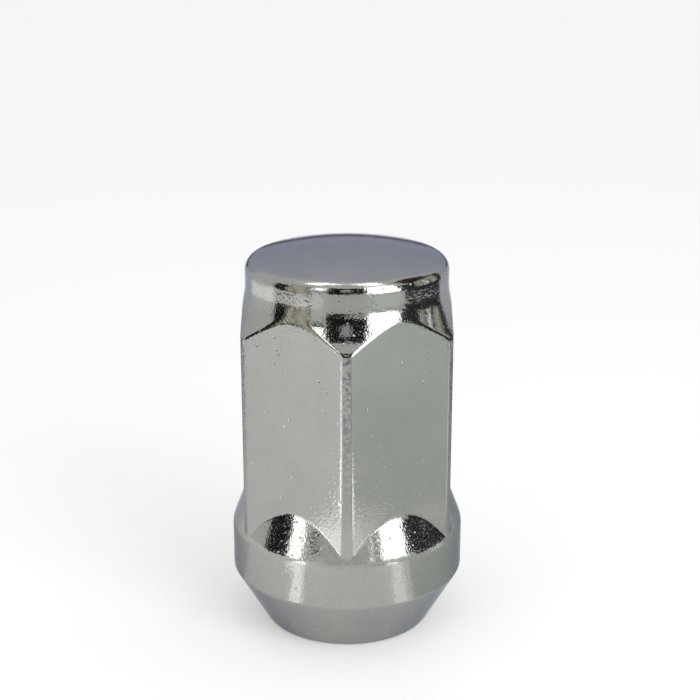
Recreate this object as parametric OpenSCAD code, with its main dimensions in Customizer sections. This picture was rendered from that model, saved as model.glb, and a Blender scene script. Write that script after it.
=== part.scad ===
// Closed-end wheel nut, forged in one piece: domed cap, wrench hexagon, round bulge with a conical seat,
// and a blind tapped hole in the foot.
// Millimetres. The axis is Z, and the nut stands on its foot ring with the origin at the middle of the foot.
// One flat faces +X, so one corner faces -Y.

/* [Wrench hexagon] */
// Height of the nut from its foot to the top of the dome
nut_h = 36.5; // [34:0.5:50]
// Size of the hexagon across its flats
hex_af = 19; // [17:0.5:22]
// How far the hexagon's corners are rounded off from sharp
corner_cut = 0.22; // [0.1:0.02:0.6]

/* [Cap] */
// How far the cap's side stands in from the flats
cap_inset = 0.2; // [0.1:0.05:1]
// Rise of the dome above the cap's rim
dome_rise = 1.4; // [0.8:0.1:3]
// Rounding of the cap's rim
rim_round = 1.2; // [0.4:0.2:1.6]
// Height of the cap's side, from its rim down to where the chamfer's slope meets it
cap_side_h = 3.7; // [3.3:0.1:6]
// Hollow in which the cap's side sweeps out into the chamfer
cap_blend = 5.5; // [3:0.5:7]
// Slope of the chamfer between the cap and the corners, from the axis
chamfer_deg = 34; // [22:1:36]
// Rounding where the chamfer runs out on the corners
chamfer_round = 0.8; // [0.2:0.1:1.2]

/* [Bulge and seat] */
// How far the bulge stands out past the hexagon's corners
bulge_proud = 0.15; // [0.1:0.05:1]
// Height of the bulge's straight side
bulge_side_h = 4.4; // [2:0.2:8]
// Slope of the ledge that rises from the bulge to the flats, from the axis
ledge_deg = 21; // [14:1:30]
// Rounding from the bulge's side into the ledge
ledge_round = 2.5; // [0.5:0.5:4]
// Hollow rounding from the ledge into the flats
ledge_blend = 6; // [1:0.5:8]
// Angle of the conical seat, side to side
seat_deg = 60; // [50:5:90]
// Rounding of the edge between the seat and the bulge
seat_edge_round = 0.5; // [0.2:0.1:1]
// Diameter at the foot of the seat
foot_d = 15.7; // [14.6:0.1:18]
// Rounding of the foot's outer edge
foot_round = 0.4; // [0.1:0.1:0.6]

/* [Stud thread] */
// Nominal diameter of the thread
thread_d = 12; // [10:1:14]
// Pitch of the thread
thread_pitch = 1.5; // [1:0.25:2]
// Depth of the hole's straight wall from the foot
thread_depth = 24; // [16:0.5:28]
// How far the mouth opens past the thread on each side
mouth_over = 0.4; // [0.2:0.1:0.8]
// Angle of the mouth's countersink, side to side
mouth_deg = 90; // [60:5:120]
// Angle of the drill point at the hole's end, side to side
drill_point_deg = 118; // [90:2:140]

/* [Hidden] */
$fn = 128;

hex_sides = 6;
flat_r = hex_af / 2;
sharp_corner_r = flat_r / cos(180 / hex_sides);
corner_r = sharp_corner_r - corner_cut;

// Dome: part of a sphere that meets the cap's side at the rim
cap_r = flat_r - cap_inset;
rim_z = nut_h - dome_rise;
dome_r = (cap_r * cap_r + dome_rise * dome_rise) / (2 * dome_rise);
dome_mid = [0, nut_h - dome_r];

// Rim: an arc that meets the dome and the cap's side without a step
rim_mid_r = cap_r - rim_round;
rim_mid = [rim_mid_r, dome_mid[1] + sqrt(pow(dome_r - rim_round, 2) - pow(rim_mid_r, 2))];
rim_on_side = [cap_r, rim_mid[1]];
rim_on_dome = dome_mid + (rim_mid - dome_mid) * dome_r / (dome_r - rim_round);

// Chamfer, from the foot of the cap's side out to the corners
chamfer_top_z = rim_z - cap_side_h;
chamfer_low_z = chamfer_top_z - (corner_r - cap_r) / tan(chamfer_deg);

// Seat, bulge and ledge, from the foot up
foot_r = foot_d / 2;
bulge_r = corner_r + bulge_proud;
seat_h = (bulge_r - foot_r) / tan(seat_deg / 2);
bulge_top_z = seat_h + bulge_side_h;
// The ledge's hollow ends this far under the flats, so that it runs out on them at a slight angle
blend_under = 0.05;
blend_r = flat_r - blend_under;
ledge_top_z = bulge_top_z + (bulge_r - blend_r) / tan(ledge_deg);
collar_top_z = ledge_top_z + 2 * ledge_blend * tan(ledge_deg / 2);
// The hexagon starts inside the bulge
hex_base_z = seat_h + bulge_side_h / 2;

// Hole: its wall is the crest of a standard metric thread
crest_share = 1.0825;
bore_r = (thread_d - crest_share * thread_pitch) / 2;
mouth_r = thread_d / 2 + mouth_over;
mouth_depth = (mouth_r - bore_r) / tan(mouth_deg / 2);
drill_tip_z = thread_depth + bore_r / tan(drill_point_deg / 2);
// How far a cutter or a blank reaches past what it cuts
cut_past = 1;

// Each arc stands proud of its sides by this much, so that it always crosses them
arc_proud = 0.001;
// How far an arc's slice runs on past the arc's ends, as a share of its radius
arc_past = 0.25;

function unit(v) = v / norm(v);

// Slice of a disc that holds the arc between two points on its rim, and a little more at both ends
module disc_slice(mid, radius, from, to) {
    past = unit(from - to) * radius * arc_past;
    intersection() {
        translate(mid) circle(r = radius + arc_proud);
        polygon([mid, 2 * (from + past) - mid, 2 * (to - past) - mid]);
    }
}

// Half section of a turned body, through corners given as [radius, height, rounding], anticlockwise.
// Each rounding is an arc that meets both sides of its corner without a step.
module turned_section(corners) {
    last = len(corners) - 1;
    spots = [for (c = corners) [c[0], c[1]]];
    back = [for (i = [0:last]) unit(spots[i == 0 ? last : i - 1] - spots[i])];
    ahead = [for (i = [0:last]) unit(spots[i == last ? 0 : i + 1] - spots[i])];
    half_deg = [for (i = [0:last]) acos(back[i] * ahead[i]) / 2];
    reach = [for (i = [0:last]) corners[i][2] / tan(half_deg[i])];
    from = [for (i = [0:last]) spots[i] + back[i] * reach[i]];
    to = [for (i = [0:last]) spots[i] + ahead[i] * reach[i]];
    mids = [for (i = [0:last]) spots[i] + unit(back[i] + ahead[i]) * corners[i][2] / sin(half_deg[i])];
    turns_out = [for (i = [0:last]) ahead[i][0] * back[i][1] - ahead[i][1] * back[i][0] > 0];
    rounded = [for (i = [0:last]) if (corners[i][2] > 0) i];

    difference() {
        union() {
            polygon([for (i = [0:last]) each corners[i][2] > 0 ? [from[i], to[i]] : [spots[i]]]);
            for (i = rounded) if (turns_out[i]) disc_slice(mids[i], corners[i][2], from[i], to[i]);
        }
        for (i = rounded) if (!turns_out[i]) disc_slice(mids[i], corners[i][2], from[i], to[i]);
    }
}

// Round blank that trims the hexagon: corners, chamfer, cap, rim and dome
module turned_top() {
    rotate_extrude() {
        turned_section([
            [0, hex_base_z, 0],
            [corner_r, hex_base_z, 0],
            [corner_r, chamfer_low_z, chamfer_round],
            [cap_r, chamfer_top_z, cap_blend],
            [rim_on_side[0], rim_on_side[1], 0],
            [rim_on_dome[0], rim_on_dome[1], 0],
            [0, rim_on_dome[1], 0]
        ]);
        disc_slice(rim_mid, rim_round, rim_on_side, rim_on_dome);
        intersection() {
            translate(dome_mid) circle(r = dome_r);
            translate([0, rim_on_dome[1]]) square([rim_on_dome[0], dome_rise]);
        }
    }
}

// Hexagonal bar from inside the bulge to past the top of the dome
module hex_bar() {
    translate([0, 0, hex_base_z])
        rotate([0, 0, 180 / hex_sides])
            cylinder(h = nut_h - hex_base_z + cut_past, r = sharp_corner_r, $fn = hex_sides);
}

// Foot, conical seat, bulge and the ledge that rises into the flats
module seat_and_bulge() {
    rotate_extrude()
        turned_section([
            [0, 0, 0],
            [foot_r, 0, foot_round],
            [bulge_r, seat_h, seat_edge_round],
            [bulge_r, bulge_top_z, ledge_round],
            [blend_r, ledge_top_z, ledge_blend],
            [blend_r, collar_top_z, 0],
            [0, collar_top_z, 0]
        ]);
}

// Blind hole: countersunk mouth, wall at the thread's crest, drill point
module stud_hole() {
    rotate_extrude()
        polygon([
            [0, -cut_past],
            [mouth_r + cut_past * tan(mouth_deg / 2), -cut_past],
            [bore_r, mouth_depth],
            [bore_r, thread_depth],
            [0, drill_tip_z]
        ]);
}

module lug_nut() {
    color("#c6c9ca")
        difference() {
            union() {
                intersection() {
                    hex_bar();
                    turned_top();
                }
                seat_and_bulge();
            }
            stud_hole();
        }
}

lug_nut();
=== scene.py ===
import math

import bpy
import numpy as np
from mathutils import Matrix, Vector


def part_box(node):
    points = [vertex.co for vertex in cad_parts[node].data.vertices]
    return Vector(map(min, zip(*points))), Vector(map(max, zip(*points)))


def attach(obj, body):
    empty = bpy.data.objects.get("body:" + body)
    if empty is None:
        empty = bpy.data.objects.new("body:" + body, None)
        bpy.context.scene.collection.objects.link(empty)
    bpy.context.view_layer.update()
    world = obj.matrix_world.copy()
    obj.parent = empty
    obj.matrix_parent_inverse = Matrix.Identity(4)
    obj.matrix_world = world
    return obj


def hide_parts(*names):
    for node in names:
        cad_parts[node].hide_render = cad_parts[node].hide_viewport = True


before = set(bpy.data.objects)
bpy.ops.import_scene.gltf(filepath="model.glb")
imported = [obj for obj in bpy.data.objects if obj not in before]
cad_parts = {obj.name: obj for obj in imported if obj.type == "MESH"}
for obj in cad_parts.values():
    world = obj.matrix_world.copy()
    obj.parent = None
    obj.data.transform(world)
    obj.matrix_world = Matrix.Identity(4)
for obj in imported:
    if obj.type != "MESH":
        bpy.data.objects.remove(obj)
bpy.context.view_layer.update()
nut_low, nut_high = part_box("lug_nut")

MM = 0.001

# Sizes of the nut in millimetres. Its height and its bulge come from the frame.
NUT_H = nut_high.z / MM
BULGE_R = (nut_high.x - nut_low.x) / 2 / MM
BULGE_PROUD = 0.15
HEX_SIDES = 6
FLAT_R = 9.5
CORNER_R = BULGE_R - BULGE_PROUD
# Angle from the middle of a flat to where the corner's rounding starts
CORNER_EDGE = math.acos(FLAT_R / CORNER_R)

CAP_INSET = 0.2
CAP_R = FLAT_R - CAP_INSET
DOME_RISE = 1.4
RIM_ROUND = 1.2
CAP_SIDE_H = 3.7
CAP_BLEND = 5.5
CHAMFER_SLOPE = math.radians(34)
CHAMFER_ROUND = 0.8

BULGE_SIDE_H = 4.4
LEDGE_SLOPE = math.radians(21)
LEDGE_ROUND = 2.5
LEDGE_BLEND = 6.0
LEDGE_END_UNDER = 0.05
LEDGE_END_R = FLAT_R - LEDGE_END_UNDER
SEAT_SLOPE = math.radians(30)
SEAT_EDGE_ROUND = 0.5
FOOT_R = 7.85
FOOT_ROUND = 0.4

# How deep the edges are rounded where the flats meet the turned blank, and how full the ledge's hollow is
EDGE_DEPTH = 0.1
LEDGE_EDGE_DEPTH = 0.07
# The corners are scuffed from this height up, and the scuffs fade in over this angle from the corner's edge
CORNER_SCUFF_LOW = 14.0
CORNER_SCUFF_FADE = math.radians(0.6)

# Standard metric thread: depth of its crest under the nominal size in pitches, half the crest's width, flank
THREAD_D = 12.0
THREAD_PITCH = 1.5
CREST_SHARE = 1.0825
CREST_HALF = THREAD_PITCH / 8
THREAD_FLANK = math.radians(60)
THREAD_CREST_R = (THREAD_D - CREST_SHARE * THREAD_PITCH) / 2
THREAD_END = 21.0
THREAD_RUN_OUT = 2.0
HOLE_DEPTH = 24.0
MOUTH_OVER = 0.4
MOUTH_R = THREAD_D / 2 + MOUTH_OVER
MOUTH_SLOPE = math.radians(45)
MOUTH_EDGE_ROUND = 0.12
DRILL_POINT_SLOPE = math.radians(59)

# Heights that follow from those sizes
SEAT_H = (BULGE_R - FOOT_R) / math.tan(SEAT_SLOPE)
HEX_BASE = SEAT_H + BULGE_SIDE_H / 2
BULGE_TOP = SEAT_H + BULGE_SIDE_H
BULGE_SHOULDER = BULGE_TOP - LEDGE_ROUND * math.tan(LEDGE_SLOPE / 2)
LEDGE_TOP = BULGE_TOP + (BULGE_R - LEDGE_END_R) / math.tan(LEDGE_SLOPE)
COLLAR_TOP = LEDGE_TOP + 2 * LEDGE_BLEND * math.tan(LEDGE_SLOPE / 2)
RIM_Z = NUT_H - DOME_RISE
CHAMFER_TOP = RIM_Z - CAP_SIDE_H
CHAMFER_LOW = CHAMFER_TOP - (CORNER_R - CAP_R) / math.tan(CHAMFER_SLOPE)
CHAMFER_END = CHAMFER_LOW - CHAMFER_ROUND * math.tan(CHAMFER_SLOPE / 2)
DRILL_TIP = HOLE_DEPTH + THREAD_CREST_R / math.tan(DRILL_POINT_SLOPE)

# Turned forms, as corners from the bottom up: radius, height, rounding. The blank closes inside the bulge,
# and the base inside the hexagon.
BLANK = [
    (0, SEAT_H, 0),
    (CORNER_R, HEX_BASE, 0),
    (CORNER_R, CHAMFER_LOW, CHAMFER_ROUND),
    (CAP_R, CHAMFER_TOP, CAP_BLEND),
    (CAP_R, NUT_H, 0),
]
BASE = [
    (FOOT_R, 0, 0),
    (BULGE_R, SEAT_H, SEAT_EDGE_ROUND),
    (BULGE_R, BULGE_TOP, LEDGE_ROUND),
    (LEDGE_END_R, LEDGE_TOP, LEDGE_BLEND),
    (LEDGE_END_R, COLLAR_TOP, 0),
    (0, CHAMFER_LOW, 0),
]

# Rows and columns of the nut's surface
COLUMNS_TO_CORNER = 22
DOME_ROWS = 18
RIM_ROWS = 16
CAP_ROWS = 30
FLAT_ROWS = 34
LEDGE_ROWS = 26
SEAT_ROWS = 24
FOOT_ROWS = 7
MOUTH_ROWS = 4
ROWS_A_PITCH = 12
HOLE_END_ROWS = 4
# How near an edge columns and rows are packed, as an angle and a share of a zone, and how much closer
COLUMN_PACK_WIDTH = math.radians(1.2)
COLUMN_PACK_GAIN = 9
ROW_PACK_WIDTH = 0.09
ROW_PACK_GAIN = 5

# Points of the fine scales on which heights and packed values are looked up
HEIGHT_STEPS = 4001
PACK_STEPS = 2001
# Halvings that find the outside, and how far out the first range goes in bulge radii
HALVINGS = 40
PAST_BULGE = 1.1


def turned_radius(height, corners):
    """Radius of a turned form at each height.

    Straight sides join the places where the roundings start and end. Each rounding is an arc that meets both
    sides of its corner without a step: its middle lies on the corner's bisector, and it starts at its radius
    over the tangent of half the corner's angle. The arc bulges where the middle is nearer the axis than the
    corner.
    """
    spots = np.array([corner[:2] for corner in corners], float)
    path = [spots[0]]
    arcs = []
    for before, spot, after, corner in zip(spots, spots[1:], spots[2:], corners[1:]):
        rounding = corner[2]
        back = (before - spot) / np.linalg.norm(before - spot)
        ahead = (after - spot) / np.linalg.norm(after - spot)
        half = math.acos(back @ ahead) / 2
        bisector = (back + ahead) / np.linalg.norm(back + ahead)
        start = spot + back * rounding / math.tan(half)
        finish = spot + ahead * rounding / math.tan(half)
        path += [start, finish]
        arcs.append((start, finish, spot + bisector * rounding / math.sin(half), rounding, spot))
    path = np.array(path + [spots[-1]])
    radius = np.interp(height, path[:, 1], path[:, 0])
    for start, finish, middle, rounding, spot in arcs:
        rise = np.sqrt(np.maximum(rounding**2 - (height - middle[1]) ** 2, 0))
        arc = middle[0] + np.sign(spot[0] - middle[0]) * rise
        radius = np.where((height > start[1]) & (height < finish[1]), arc, radius)
    return radius


def height_where(radius, corners, low, high):
    """Height between low and high at which a turned form that narrows upwards has this radius."""
    fine = np.linspace(high, low, HEIGHT_STEPS)
    return np.interp(radius, turned_radius(fine, corners), fine)


def crowded(low, high, count, spots, width, gain):
    """Values from low to high, packed closer near each spot.

    The density is 1 plus gain times a bell of the given width at each spot. The values are where the running
    sum of that density passes equal shares of its total.
    """
    fine = np.linspace(low, high, PACK_STEPS)
    density = 1 + gain * sum(np.exp(-(((fine - spot) / width) ** 2)) for spot in spots)
    total = np.concatenate([[0], np.cumsum((density[1:] + density[:-1]) / 2)])
    return np.interp(np.linspace(0, 1, count), total / total[-1], fine)


def both(a, b, depth):
    """Distance to what lies inside both surfaces, with the edge between them rounded.

    Where both distances are within depth of zero, the larger gives way to a quarter circle of that depth.
    """
    near = np.hypot(np.maximum(depth + a, 0), np.maximum(depth + b, 0))
    return np.minimum(-depth, np.maximum(a, b)) + near


def either(a, b, depth):
    """Distance to what lies inside either surface, with the hollow between them rounded, as both() does."""
    return -both(-a, -b, depth)


def outside_radius(height, from_flat):
    """Radius of the nut's outside at each height and angle from the middle of the nearest flat.

    The flats cut by the turned blank make the hexagon, and the turned base joins it. The radius at which the
    distance from all that is zero is found by halving the range between the axis and past the bulge.
    """
    blank = turned_radius(height, BLANK)
    base = turned_radius(height, BASE)
    low = np.zeros(np.broadcast(height, from_flat).shape)
    high = low + BULGE_R * PAST_BULGE
    for _ in range(HALVINGS):
        radius = (low + high) / 2
        hexagon = both(radius * np.cos(from_flat) - FLAT_R, radius - blank, EDGE_DEPTH)
        inside = either(hexagon, radius - base, LEDGE_EDGE_DEPTH) < 0
        low = np.where(inside, radius, low)
        high = np.where(inside, high, radius)
    return (low + high) / 2


def around():
    """Angles round the nut, and each one's angle from the middle of its flat.

    One side of the hexagon is laid out from corner to corner, with columns packed where its rounded corner
    meets the flat, and repeated for each side. The last corner of a side is the first of the next, so it is
    left out.
    """
    half = math.pi / HEX_SIDES
    to_corner = crowded(0, half, COLUMNS_TO_CORNER + 1, [CORNER_EDGE], COLUMN_PACK_WIDTH, COLUMN_PACK_GAIN)
    side = np.concatenate([-to_corner[:0:-1], to_corner[:-1]])
    angle = np.arange(HEX_SIDES)[:, None] * 2 * half + side[None, :]
    return angle.ravel(), np.tile(np.abs(side), HEX_SIDES)


def top_rows():
    """Radius and height of the rows on the dome and the rim, from the top down.

    The dome is an arc about a point on the axis. The rim is an arc that meets the dome and the cap's side
    smoothly, so its middle lies on the line from the dome's middle through the point where they meet.
    """
    dome_r = (CAP_R**2 + DOME_RISE**2) / (2 * DOME_RISE)
    dome_mid = NUT_H - dome_r
    rim_mid_r = CAP_R - RIM_ROUND
    rim_mid = dome_mid + math.sqrt((dome_r - RIM_ROUND) ** 2 - rim_mid_r**2)
    meet = math.asin(rim_mid_r / (dome_r - RIM_ROUND))
    lean = np.linspace(0, meet, DOME_ROWS + 1)[1:]
    dome = np.stack([dome_r * np.sin(lean), dome_mid + dome_r * np.cos(lean)])
    turn = np.linspace(meet, math.pi / 2, RIM_ROWS + 1)[1:]
    rim = np.stack([rim_mid_r + RIM_ROUND * np.sin(turn), rim_mid + RIM_ROUND * np.cos(turn)])
    return np.concatenate([dome, rim], axis=1)


def foot_rows():
    """Radius and height of the rows on the foot's rounding, its flat ring and the mouth's rounded edge.

    The foot's rounding is an arc that touches the seat's cone and the ground. The mouth's edge is an arc
    that touches the ground and the countersink. The flat ring is the step between the two.
    """
    foot_mid = FOOT_R - FOOT_ROUND * (1 - math.sin(SEAT_SLOPE)) / math.cos(SEAT_SLOPE)
    turn = np.linspace(-SEAT_SLOPE, -math.pi / 2, FOOT_ROWS)
    foot = np.stack([foot_mid + FOOT_ROUND * np.cos(turn), FOOT_ROUND * (1 + np.sin(turn))])
    mouth_turn = math.pi / 2 - MOUTH_SLOPE
    mouth_mid = MOUTH_R + MOUTH_EDGE_ROUND * math.tan(mouth_turn / 2)
    roll = np.linspace(0, mouth_turn, MOUTH_ROWS)
    mouth = np.stack([mouth_mid - MOUTH_EDGE_ROUND * np.sin(roll), MOUTH_EDGE_ROUND * (1 - np.cos(roll))])
    return np.concatenate([foot, mouth], axis=1)


def zone(upper, lower, count, spots):
    """Heights of rows from one edge down to another, packed near some shares of the way.

    Each row lies at the same share of the way all round. The upper edge itself is left out.
    """
    share = crowded(0, 1, count + 1, spots, ROW_PACK_WIDTH, ROW_PACK_GAIN)[1:, None]
    return upper + (lower - upper) * share


def side_rows(from_flat, rim_low, foot_edge):
    """Radius and height of the rows between the rim and the foot's rounding.

    The rows follow the arched edges: one zone each for the cap with its chamfer, the flats, the ledges, and
    the bulge with its seat. An edge is where a turned form has the radius of the flats or, at a corner, that
    of the corner's rounding.
    """
    level = np.zeros_like(from_flat)
    reach = np.minimum(FLAT_R / np.cos(from_flat), CORNER_R)
    arch = height_where(reach, BLANK, CHAMFER_END, CHAMFER_TOP + CAP_BLEND)
    ledge = height_where(reach, BASE, BULGE_TOP, COLLAR_TOP)
    seat_edge = (BULGE_SHOULDER - SEAT_H) / (BULGE_SHOULDER - foot_edge)
    height = np.concatenate([
        zone(level + rim_low, arch, CAP_ROWS, [1]),
        zone(arch, ledge, FLAT_ROWS, [0, 1]),
        zone(ledge, level + BULGE_SHOULDER, LEDGE_ROWS, [0, 1]),
        zone(level + BULGE_SHOULDER, level + foot_edge, SEAT_ROWS, [seat_edge])[:-1],
    ])
    return outside_radius(height, from_flat), height


def thread_radius(height, angle):
    """Radius of the hole's wall with a right-hand metric thread.

    The distance along the axis from the nearest crest rises by one pitch a turn. The wall lies at the crest
    over an eighth of the pitch each way, then falls back at 60 degrees to the nominal radius. The
    countersunk mouth cuts the first turns, and the last turns fade out.
    """
    turns = height / THREAD_PITCH - angle / (2 * math.pi)
    from_crest = np.abs(turns - np.round(turns)) * THREAD_PITCH
    groove = (from_crest - CREST_HALF) * math.tan(THREAD_FLANK)
    deepest = THREAD_D / 2 - THREAD_CREST_R
    fade = np.clip((THREAD_END - height) / THREAD_RUN_OUT, 0, 1)
    wall = THREAD_CREST_R + np.clip(groove, 0, deepest) * fade
    return np.maximum(wall, MOUTH_R - height * math.tan(MOUTH_SLOPE))


def hole_rows(angle, start):
    """Radius and height of the rows up the hole, from a starting height to just under the drill point's tip.

    Even rows climb the threaded wall. Then the drill point's cone narrows evenly from the wall to the tip.
    """
    level = np.zeros_like(angle)
    wall_rows = int(HOLE_DEPTH / THREAD_PITCH * ROWS_A_PITCH)
    wall_z = np.linspace(start, HOLE_DEPTH, wall_rows + 1)[1:, None] + level
    share = np.linspace(0, 1, HOLE_END_ROWS + 1)[1:-1, None]
    end_r = THREAD_CREST_R * (1 - share) + level
    end_z = HOLE_DEPTH + (DRILL_TIP - HOLE_DEPTH) * share + level
    return np.concatenate([thread_radius(wall_z, angle), end_r]), np.concatenate([wall_z, end_z])


def nut_surface():
    """Radius, height and angle of the whole surface on one grid, the corner marks and the first row inside.

    The rows run from the dome's top down the outside, in under the foot and up the hole to the drill point.
    The corner marks say where scuffs show: 0 off the corners and inside, and on a corner from 0 at the
    height where the scuffs start to 1 at the chamfer.
    """
    angle, from_flat = around()
    level = np.zeros_like(angle)
    top_r, top_z = top_rows()[:, :, None] + level
    foot_r, foot_z = foot_rows()[:, :, None] + level
    side_r, side_z = side_rows(from_flat, top_z[-1, 0], foot_z[0, 0])
    hole_r, hole_z = hole_rows(angle, foot_z[-1, 0])
    radius = np.concatenate([top_r, side_r, foot_r, hole_r])
    height = np.concatenate([top_z, side_z, foot_z, hole_z])

    first_inside = len(top_z) + len(side_z) + FOOT_ROWS
    on_corner = np.clip((from_flat - CORNER_EDGE) / CORNER_SCUFF_FADE, 0, 1)
    up_the_corner = np.clip((height - CORNER_SCUFF_LOW) / (CHAMFER_LOW - CORNER_SCUFF_LOW), 0, 1)
    corner = on_corner * np.where(height < CHAMFER_LOW, up_the_corner, 0)
    corner[first_inside:] = 0
    return radius, height, angle, corner, first_inside


def make_nut():
    """The nut as one closed mesh: a grid of quads, closed by fans at the dome's top and at the drill tip.

    A point lies at its radius times the cosine and the sine of its angle, and at its height.
    """
    radius, height, angle, corner, first_inside = nut_surface()
    rows, columns = radius.shape
    grid = np.stack([radius * np.cos(angle), radius * np.sin(angle), height], axis=-1).reshape(-1, 3)
    points = np.concatenate([[[0, 0, NUT_H]], grid, [[0, 0, DRILL_TIP]]]) * MM

    index = 1 + np.arange(rows * columns).reshape(rows, columns)
    beside = np.roll(index, -1, axis=1)
    quads = np.stack([index[:-1], index[1:], beside[1:], beside[:-1]], axis=-1).reshape(-1, 4)
    top_fan = np.stack([np.zeros(columns, int), index[0], beside[0]], axis=-1)
    end_fan = np.stack([index[-1], np.full(columns, len(points) - 1), beside[-1]], axis=-1)

    mesh = bpy.data.meshes.new("lug_nut_chromed")
    mesh.from_pydata(points.tolist(), [], quads.tolist() + top_fan.tolist() + end_fan.tolist())
    inside = np.repeat(np.arange(rows - 1) >= first_inside, columns)
    slots = np.concatenate([inside, np.zeros(columns, bool), np.ones(columns, bool)]).astype(np.int32)
    mesh.polygons.foreach_set("material_index", slots)
    mesh.polygons.foreach_set("use_smooth", np.ones(len(slots), bool))
    marks = mesh.attributes.new("corner", "FLOAT", "POINT")
    marks.data.foreach_set("value", np.concatenate([[0], corner.ravel(), [0]]).astype(np.float32))
    mesh.update()
    nut = bpy.data.objects.new("lug_nut_chromed", mesh)
    bpy.context.collection.objects.link(nut)
    return nut


# Sockets of a Mix node that mixes colours. Its other sockets have the same names.
MIX_A = 6
MIX_B = 7
MIX_RESULT = 2


def linear(hex_colour):
    """A colour written as sRGB hex, as the linear RGBA that shaders take, by the standard sRGB curve."""
    parts = [int(hex_colour[i:i + 2], 16) / 255 for i in (1, 3, 5)]
    return [c / 12.92 if c <= 0.04045 else ((c + 0.055) / 1.055) ** 2.4 for c in parts] + [1.0]


def add_node(tree, kind, settings=(), values=(), links=()):
    """Adds a node to a tree, with its settings, its inputs' values and the outputs linked to its inputs.

    Inputs go by name, or by number where several have the same name.
    """
    node = tree.nodes.new(kind)
    for name, value in dict(settings).items():
        setattr(node, name, value)
    for name, value in dict(values).items():
        node.inputs[name].default_value = value
    for name, source in dict(links).items():
        tree.links.new(source, node.inputs[name])
    return node


def new_material(name):
    """A material with an empty node tree."""
    material = bpy.data.materials.new(name)
    material.use_nodes = True
    material.node_tree.nodes.clear()
    return material


def forged_skin(tree, where):
    """The forging's skin under the plate, as a normal: wide waves, a fine grain and a few small pits.

    The real grain is too fine to show in a picture of the whole nut, so it is drawn coarser here.
    """
    wave_width = 5 * MM
    wave_depth = 0.03 * MM
    grain_width = 0.26 * MM
    grain_depth = 0.013 * MM
    pit_spacing = 1.0 * MM
    pit_depth = 0.02 * MM
    # Radii of a pit's floor and of its brim, in spacings
    pit_floor = 0.03
    pit_brim = 0.14

    wave = add_node(tree, "ShaderNodeTexNoise", values={"Scale": 1 / wave_width, "Detail": 1.0},
                    links={"Vector": where})
    wave_bump = add_node(tree, "ShaderNodeBump", values={"Distance": wave_depth},
                         links={"Height": wave.outputs["Fac"]})
    grain = add_node(tree, "ShaderNodeTexNoise",
                     values={"Scale": 1 / grain_width, "Detail": 1.5, "Roughness": 0.6},
                     links={"Vector": where})
    grain_bump = add_node(tree, "ShaderNodeBump", values={"Distance": grain_depth},
                          links={"Height": grain.outputs["Fac"], "Normal": wave_bump.outputs["Normal"]})
    pits = add_node(tree, "ShaderNodeTexVoronoi", values={"Scale": 1 / pit_spacing}, links={"Vector": where})
    level = add_node(tree, "ShaderNodeMapRange", {"interpolation_type": "SMOOTHSTEP"},
                     {"From Min": pit_floor, "From Max": pit_brim}, {"Value": pits.outputs["Distance"]})
    pit_bump = add_node(tree, "ShaderNodeBump", values={"Distance": pit_depth},
                        links={"Height": level.outputs["Result"], "Normal": grain_bump.outputs["Normal"]})
    return pit_bump.outputs["Normal"]


def dull_specks(tree, where):
    """Roughness of the plate: a mirror with small dull specks, duller low down, where it is polished less.

    Real specks are too fine to show one by one, so they are drawn coarser here.
    """
    speck_width = 0.16 * MM
    mirror = 0.06
    dull_low = 0.45
    dull_high = 0.25
    low_end = 8 * MM
    high_start = 14 * MM

    specks = add_node(tree, "ShaderNodeTexNoise", values={"Scale": 1 / speck_width, "Detail": 2.0},
                      links={"Vector": where})
    height = add_node(tree, "ShaderNodeSeparateXYZ", links={"Vector": where})
    dullest = add_node(tree, "ShaderNodeMapRange",
                       values={"From Min": low_end, "From Max": high_start,
                               "To Min": dull_low, "To Max": dull_high},
                       links={"Value": height.outputs["Z"]})
    dull = add_node(tree, "ShaderNodeMapRange", values={"From Min": 0.48, "From Max": 0.7, "To Min": mirror},
                    links={"Value": specks.outputs["Fac"], "To Max": dullest.outputs["Result"]})
    return dull.outputs["Result"]


def plate_colour(tree, where):
    """Colour of the plate: faint warm and cool clouds, with darker scuffs in blots on the marked corners."""
    cloud_width = 7 * MM
    blot_width = 0.32 * MM

    clouds = add_node(tree, "ShaderNodeTexNoise",
                      values={"Scale": 1 / cloud_width, "Detail": 6.0, "Roughness": 0.7},
                      links={"Vector": where})
    plate = add_node(tree, "ShaderNodeMix", {"data_type": "RGBA"},
                     {MIX_A: linear("#AEAFA9"), MIX_B: linear("#959895")}, {"Factor": clouds.outputs["Fac"]})
    corner = add_node(tree, "ShaderNodeAttribute", {"attribute_name": "corner"})
    blots = add_node(tree, "ShaderNodeTexNoise", values={"Scale": 1 / blot_width, "Detail": 2.0},
                     links={"Vector": where})
    scuff = add_node(tree, "ShaderNodeMapRange", values={"From Min": 0.44, "From Max": 0.54},
                     links={"Value": blots.outputs["Fac"], "To Max": corner.outputs["Fac"]})
    worn = add_node(tree, "ShaderNodeMix", {"data_type": "RGBA"}, {MIX_B: linear("#726F7C")},
                    {"Factor": scuff.outputs["Result"], MIX_A: plate.outputs[MIX_RESULT]})
    return worn.outputs[MIX_RESULT]


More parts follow.
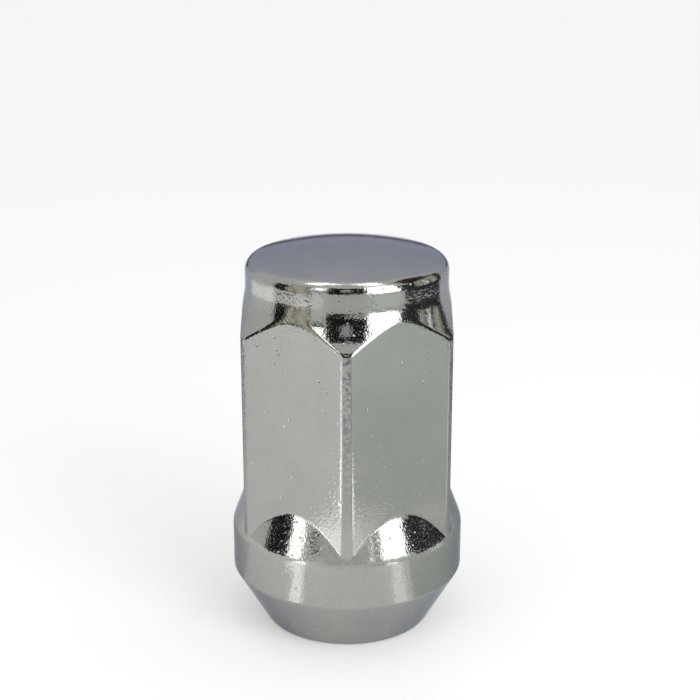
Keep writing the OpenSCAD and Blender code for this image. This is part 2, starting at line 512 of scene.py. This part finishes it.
def chrome_plate():
    """Bright decorative chrome on forged steel, barrel polished before plating.

    To the eye it is a mirror, but the forging's skin stays under the thin plate as a fine grain, which
    breaks up the edges of reflections into specks. Small dull specks give a haze round the lamps, more on
    the seat and bulge, which are polished less. The flats are a little wavy, here and there is a pit, and
    the plate is scuffed on the corners.
    """
    material = new_material("chrome_plate_on_forged_steel")
    tree = material.node_tree
    where = add_node(tree, "ShaderNodeTexCoord").outputs["Object"]
    shader = add_node(tree, "ShaderNodeBsdfPrincipled",
                      values={"Metallic": 1.0, "Specular Tint": linear("#C4C6D2")},
                      links={"Base Color": plate_colour(tree, where), "Roughness": dull_specks(tree, where),
                             "Normal": forged_skin(tree, where)})
    add_node(tree, "ShaderNodeOutputMaterial", links={"Surface": shader.outputs["BSDF"]})
    return material


def tapped_steel():
    """Cut steel in the hole, where hardly any plate reaches.

    To the eye it is duller and darker than the outside, with torn patches.
    """
    tear_width = 0.5 * MM
    smooth = 0.25
    torn = 0.5

    material = new_material("tapped_steel")
    tree = material.node_tree
    where = add_node(tree, "ShaderNodeTexCoord").outputs["Object"]
    tears = add_node(tree, "ShaderNodeTexNoise", values={"Scale": 1 / tear_width, "Detail": 3.0},
                     links={"Vector": where})
    steel = add_node(tree, "ShaderNodeMix", {"data_type": "RGBA"},
                     {MIX_A: linear("#9C9A96"), MIX_B: linear("#7E7B77")}, {"Factor": tears.outputs["Fac"]})
    dull = add_node(tree, "ShaderNodeMapRange",
                    values={"From Min": 0.3, "From Max": 0.7, "To Min": smooth, "To Max": torn},
                    links={"Value": tears.outputs["Fac"]})
    shader = add_node(tree, "ShaderNodeBsdfPrincipled", values={"Metallic": 1.0},
                      links={"Base Color": steel.outputs[MIX_RESULT], "Roughness": dull.outputs["Result"]})
    add_node(tree, "ShaderNodeOutputMaterial", links={"Surface": shader.outputs["BSDF"]})
    return material


nut = make_nut()
nut.data.materials.append(chrome_plate())
nut.data.materials.append(tapped_steel())
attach(nut, "root")
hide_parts("lug_nut")


# Camera: its place, lens and sensor in millimetres, and how far it looks down in degrees
CAMERA_PLACE = (0.27, -132.8, 69.96)
CAMERA_DOWN = 18.2
CAMERA_LENS = 77.64
CAMERA_SENSOR = 36.0

# Floor, in millimetres: half its width, and its level just under the foot
FLOOR_HALF = 1500
FLOOR_LEVEL = -0.02
# Emission that lifts the floor to white where it is seen
PAPER_LIFT = 0.19

# Lamps: tilt up from facing the nut in degrees, places in millimetres, and how bright they are
FACING_NUT = 0
FACING_UP = 90
FACING_DOWN = -90
LOW_LAMP_HEIGHT = 0.5
HIGH_LAMP_HEIGHT = 300
HIGH_LAMP_AWAY = 115
HIGH_LAMP_RADIANCE = 2.2
LAMP_RADIANCE = 2.6

# Cards: points along an edge, and the height of a card on the floor
CARD_STEPS = 25
FLOOR_CARD_HEIGHT = 0.2


def make_camera():
    """The camera, at the place and angle from which the nut's outline fits."""
    lens = bpy.data.cameras.new("camera")
    lens.sensor_width = CAMERA_SENSOR
    lens.lens = CAMERA_LENS
    camera = bpy.data.objects.new("camera", lens)
    camera.location = [part * MM for part in CAMERA_PLACE]
    camera.rotation_euler = (math.radians(90 - CAMERA_DOWN), 0, 0)
    bpy.context.collection.objects.link(camera)
    bpy.context.scene.camera = camera


def white_paper():
    """Matte white paper for the floor.

    Rays from the camera and rays mirrored by metal or bent by glass see it lifted to white by a little
    emission, which lights nothing else, and shadows stay. Its underside is clear, so that the nut's foot
    shows from below.
    """
    material = new_material("matte_white_paper")
    tree = material.node_tree
    path = add_node(tree, "ShaderNodeLightPath")
    seen = add_node(tree, "ShaderNodeMath", {"operation": "MAXIMUM"},
                    links={0: path.outputs["Is Camera Ray"], 1: path.outputs["Is Glossy Ray"]})
    shown = add_node(tree, "ShaderNodeMath", {"operation": "MAXIMUM"},
                     links={0: seen.outputs["Value"], 1: path.outputs["Is Transmission Ray"]})
    lift = add_node(tree, "ShaderNodeMath", {"operation": "MULTIPLY"}, {1: PAPER_LIFT},
                    {0: shown.outputs["Value"]})
    paper = add_node(tree, "ShaderNodeBsdfDiffuse", values={"Color": linear("#EDEDED")})
    glow = add_node(tree, "ShaderNodeEmission", values={"Color": linear("#FFFFFF")},
                    links={"Strength": lift.outputs["Value"]})
    lit = add_node(tree, "ShaderNodeAddShader",
                   links={0: paper.outputs["BSDF"], 1: glow.outputs["Emission"]})
    under = add_node(tree, "ShaderNodeNewGeometry")
    clear = add_node(tree, "ShaderNodeBsdfTransparent")
    sheet = add_node(tree, "ShaderNodeMixShader",
                     links={"Fac": under.outputs["Backfacing"], 1: lit.outputs["Shader"],
                            2: clear.outputs["BSDF"]})
    add_node(tree, "ShaderNodeOutputMaterial", links={"Surface": sheet.outputs["Shader"]})
    return material


def matte_card_stock(name, colour):
    """Matte coloured card, plain and without a sheen."""
    material = new_material(name)
    tree = material.node_tree
    shader = add_node(tree, "ShaderNodeBsdfDiffuse", values={"Color": linear(colour)})
    add_node(tree, "ShaderNodeOutputMaterial", links={"Surface": shader.outputs["BSDF"]})
    return material


def cork_board():
    """Cork board: light and dark crumbs of cork pressed together, matte."""
    crumb_width = 3 * MM

    material = new_material("cork_board")
    tree = material.node_tree
    where = add_node(tree, "ShaderNodeTexCoord").outputs["Object"]
    crumbs = add_node(tree, "ShaderNodeTexNoise", values={"Scale": 1 / crumb_width, "Detail": 2.0},
                      links={"Vector": where})
    share = add_node(tree, "ShaderNodeMapRange", values={"From Min": 0.39, "From Max": 0.5},
                     links={"Value": crumbs.outputs["Fac"]})
    cork = add_node(tree, "ShaderNodeMix", {"data_type": "RGBA"},
                    {MIX_A: linear("#6A5D4A"), MIX_B: linear("#FAF4E6")},
                    {"Factor": share.outputs["Result"]})
    shader = add_node(tree, "ShaderNodeBsdfDiffuse", links={"Color": cork.outputs[MIX_RESULT]})
    add_node(tree, "ShaderNodeOutputMaterial", links={"Surface": shader.outputs["BSDF"]})
    return material


def stage_sheet(name, points, faces, material):
    """A mesh that belongs to the studio and not to the nut, from points in millimetres."""
    mesh = bpy.data.meshes.new(name)
    mesh.from_pydata((np.array(points) * MM).tolist(), [], faces)
    sheet = bpy.data.objects.new(name, mesh)
    sheet.data.materials.append(material)
    bpy.context.collection.objects.link(sheet)
    return sheet


def make_floor():
    """White paper for the nut to stand on."""
    corners = [(-FLOOR_HALF, -FLOOR_HALF), (FLOOR_HALF, -FLOOR_HALF), (FLOOR_HALF, FLOOR_HALF),
               (-FLOOR_HALF, FLOOR_HALF)]
    points = [(x, y, FLOOR_LEVEL) for x, y in corners]
    stage_sheet("floor", points, [(0, 1, 2, 3)], white_paper())


def make_room():
    """A pale room all round, as an even background that lights the nut softly."""
    world = bpy.data.worlds.new("pale_room")
    bpy.context.scene.world = world
    world.use_nodes = True
    tree = world.node_tree
    tree.nodes.clear()
    room = add_node(tree, "ShaderNodeBackground", values={"Color": linear("#EEEEEE"), "Strength": 1.0})
    add_node(tree, "ShaderNodeOutputWorld", links={"Surface": room.outputs["Background"]})


def lamp(name, bearing, away, height, tilt, size, radiance, lights=True):
    """A soft lamp outside the picture, at a bearing in degrees to the right of the camera's side.

    It is a rectangle that faces the nut and is then tilted up. Its power is its radiance times its area
    times pi, as a matte panel gives. The camera doesn't see it. One that doesn't light matte surfaces is
    there only for the chrome to mirror.
    """
    side = math.radians(bearing)
    light = bpy.data.lights.new(name, "AREA")
    light.shape = "RECTANGLE"
    light.size = size[0] * MM
    light.size_y = size[1] * MM
    light.energy = radiance * math.pi * light.size * light.size_y
    holder = bpy.data.objects.new(name, light)
    holder.location = (away * math.sin(side) * MM, -away * math.cos(side) * MM, height * MM)
    holder.rotation_euler = (math.radians(90 + tilt), 0, side)
    holder.visible_camera = False
    holder.visible_diffuse = lights
    bpy.context.collection.objects.link(holder)


def high_lamp(name, bearing, size):
    """A lamp high over the nut that faces down, for the cap's rim to mirror."""
    lamp(name, bearing, HIGH_LAMP_AWAY, HIGH_LAMP_HEIGHT, FACING_DOWN, size, HIGH_LAMP_RADIANCE,
         lights=False)


def low_lamp(name, bearing, away, size, radiance):
    """A lamp on the floor that faces up, for the flats and the bulge to mirror."""
    lamp(name, bearing, away, LOW_LAMP_HEIGHT, FACING_UP, size, radiance)


def make_lamps():
    """Two soft lamps beside the camera, and others that give the chrome its streaks and bright edges."""
    lamp("lamp_left", bearing=-49.5, away=150, height=50, tilt=FACING_NUT, size=(36, 92),
         radiance=LAMP_RADIANCE)
    lamp("lamp_right", bearing=40, away=150, height=102, tilt=FACING_NUT, size=(96, 176),
         radiance=LAMP_RADIANCE)
    lamp("lamp_left_high", bearing=-31, away=150, height=112, tilt=FACING_NUT, size=(30, 70), radiance=2.2,
         lights=False)
    high_lamp("high_lamp_left", bearing=-57, size=(80, 150))
    high_lamp("high_lamp_right", bearing=48, size=(88, 150))
    low_lamp("low_lamp_left", bearing=-39, away=27, size=(3.8, 18), radiance=0.95)
    low_lamp("low_lamp_front_left", bearing=-41, away=68, size=(8, 60), radiance=2.2)
    low_lamp("low_lamp_glow", bearing=-46, away=31, size=(5, 8), radiance=1.0)
    low_lamp("low_lamp_right", bearing=40.5, away=26, size=(4, 18), radiance=0.45)
    low_lamp("low_lamp_front_right", bearing=39, away=44, size=(8, 17), radiance=1.6)
    lamp("thin_lamp_right", bearing=94.5, away=104, height=60, tilt=FACING_NUT, size=(3, 60), radiance=1.6,
         lights=False)
    low_lamp("low_lamp_back_left", bearing=-108, away=114, size=(90, 28), radiance=0.66)


def card(name, material, bearings, away, heights, shades=False):
    """A card outside the picture, for the chrome to mirror, from two bearings, distances and heights.

    It is a strip between two edges, each an arc about the nut at its own distance and height. Bearings are
    in degrees to the right of the camera's side. The camera doesn't see it. Matte surfaces don't see it
    either, and it casts no shadow, unless it is there to shade a lamp too.
    """
    side = np.radians(np.linspace(*bearings, CARD_STEPS))
    ring = np.stack([np.sin(side), -np.cos(side), np.zeros_like(side)], axis=-1)
    edges = [ring * distance + [0, 0, height] for distance, height in zip(away, heights)]
    left = np.arange(CARD_STEPS - 1)
    faces = np.stack([left, left + 1, left + 1 + CARD_STEPS, left + CARD_STEPS], axis=-1)
    sheet = stage_sheet(name, np.concatenate(edges), faces.tolist(), material)
    sheet.visible_camera = False
    sheet.visible_diffuse = shades
    sheet.visible_shadow = shades


def upright_card(name, material, bearings, away, heights, shades=False):
    """A card that stands upright at one distance."""
    card(name, material, bearings, (away, away), heights, shades)


def floor_card(name, material, bearings, away):
    """A card that lies on the floor between two distances."""
    card(name, material, bearings, away, (FLOOR_CARD_HEIGHT, FLOOR_CARD_HEIGHT))


def make_cards():
    """Cards round the nut, which give its chrome dark and pale patches to mirror."""
    black = matte_card_stock("black_card", "#2A2726")
    slate = matte_card_stock("slate_card", "#3C4144")
    cork = cork_board()
    pale = matte_card_stock("pale_card", "#D8DBD9")
    white = matte_card_stock("white_card", "#EDEDED")
    brown = matte_card_stock("brown_card", "#4A3A35")
    lilac = matte_card_stock("lilac_card", "#F0F0FF")

    # To the right, dark cards with cork and white strips before them
    upright_card("card_right", slate, bearings=(65, 122), away=112, heights=(0.5, 90))
    upright_card("card_right_edge", slate, bearings=(58, 65), away=112, heights=(18, 90))
    upright_card("card_right_high", brown, bearings=(72, 115), away=112, heights=(90, 200))
    upright_card("card_right_cork", cork, bearings=(80, 88), away=106, heights=(24, 90))
    upright_card("card_right_pale", white, bearings=(91, 98), away=106, heights=(24, 90))
    upright_card("card_right_back", cork, bearings=(102, 112), away=106, heights=(24, 90))

    # To the left, a dark card and a cork board
    upright_card("card_left", black, bearings=(-83, -57), away=135, heights=(0, 90))
    upright_card("card_left_cork", cork, bearings=(-62.5, -35), away=40, heights=(25, 60), shades=True)

    # Behind the camera, dark cards round a pale window, with low white cards before them
    upright_card("card_front_left", black, bearings=(-22, 0), away=450, heights=(0.5, 450))
    upright_card("card_front_right", black, bearings=(0, 21), away=450, heights=(30, 450))
    upright_card("card_front_window", pale, bearings=(-7, 5), away=440, heights=(140, 320))
    card("card_front_low", white, bearings=(3, 22), away=(80, 50), heights=(8, 28))
    card("card_front_low_left", white, bearings=(-25, 3), away=(80, 50), heights=(8, 26))
    upright_card("card_front_low_right", white, bearings=(22, 30), away=40, heights=(10, 23), shades=True)
    upright_card("card_front_brown", brown, bearings=(-37, -25), away=300, heights=(88, 120))

    # Behind the nut, a lilac card for the dome over a low dark one
    upright_card("card_back", black, bearings=(150, 210), away=640, heights=(0, 60))
    upright_card("card_back_high", lilac, bearings=(130, 230), away=620, heights=(60, 2400))

    # On the floor, cards for the flats, the bulge and the sides
    floor_card("card_floor", pale, bearings=(20, 80), away=(38, 200))
    floor_card("card_floor_middle", white, bearings=(-24, 20), away=(38, 200))
    floor_card("card_floor_front", black, bearings=(-19, 19), away=(260, 450))
    floor_card("card_floor_right", pale, bearings=(52, 95), away=(16, 36))
    floor_card("card_floor_back_left", white, bearings=(-172, -95), away=(16, 34))
    floor_card("card_floor_back_right", pale, bearings=(95, 172), away=(16, 90))


make_camera()
make_floor()
make_room()
make_lamps()
make_cards()
bpy.context.scene.view_settings.view_transform = "Standard"
